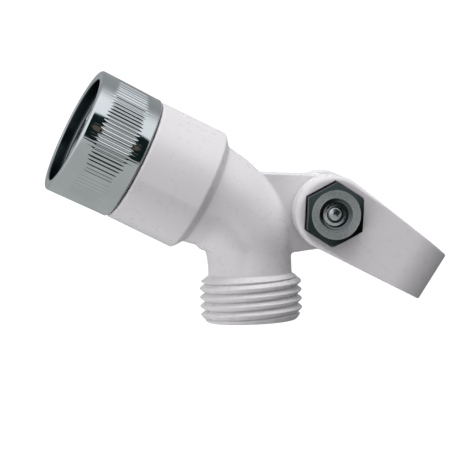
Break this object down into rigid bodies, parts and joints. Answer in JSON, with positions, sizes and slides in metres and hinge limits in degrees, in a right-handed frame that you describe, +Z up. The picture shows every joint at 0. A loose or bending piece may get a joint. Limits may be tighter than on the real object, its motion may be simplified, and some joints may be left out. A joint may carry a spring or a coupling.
{
  "type": "hand shower bracket",
  "caption": "Swivel bracket that screws to a shower arm, turns the water down to a hose and holds a hand shower in a tilting open cup.",
  "frame": {"origin": "centre of the sealing washer's front face, where the end of the shower arm seats", "axes": "+Z up, the hose outlet points along -Z, the shower arm leaves towards -X and 28.6 degrees up, the cradle reaches towards +X, and the cradle's pivot runs along Y"},
  "size_m": [0.0814, 0.0272, 0.0525],
  "materials": {
    "white_plastic": "moulded, glossy",
    "chrome": "polished plating",
    "brass": "machined",
    "black_rubber": "matte",
    "nylon": "natural, matte",
    "stainless_wire": "woven wire",
    "plated_steel": "bright zinc plating"
  },
  "bodies": {
    "bracket": {"elbow_body": "white_plastic", "swivel_tailpiece": "brass", "tailpiece_o_ring": "black_rubber", "nut_slip_ring": "nylon", "inlet_sealing_washer": "black_rubber", "strainer_rim": "nylon", "strainer_mesh": "stainless_wire", "friction_washer_near": "nylon", "friction_washer_far": "nylon"},
    "nut": {"union_nut": "chrome"},
    "cradle": {"handset_cradle": "white_plastic", "pivot_screw": "plated_steel", "pivot_nut": "chrome", "flat_washer": "plated_steel", "spring_washer": "plated_steel"}
  },
  "joints": [
    {"name": "nut_spin", "type": "hinge", "parent": "bracket", "child": "nut", "pos_m": [0, 0, 0], "axis": [-0.878, 0, 0.4787], "continuous": true},
    {"name": "cradle_tilt", "type": "hinge", "parent": "bracket", "child": "cradle", "pos_m": [0.04501, 0, -0.01561], "axis": [0, -1, 0], "range_deg": [-40, 105]}
  ]
}
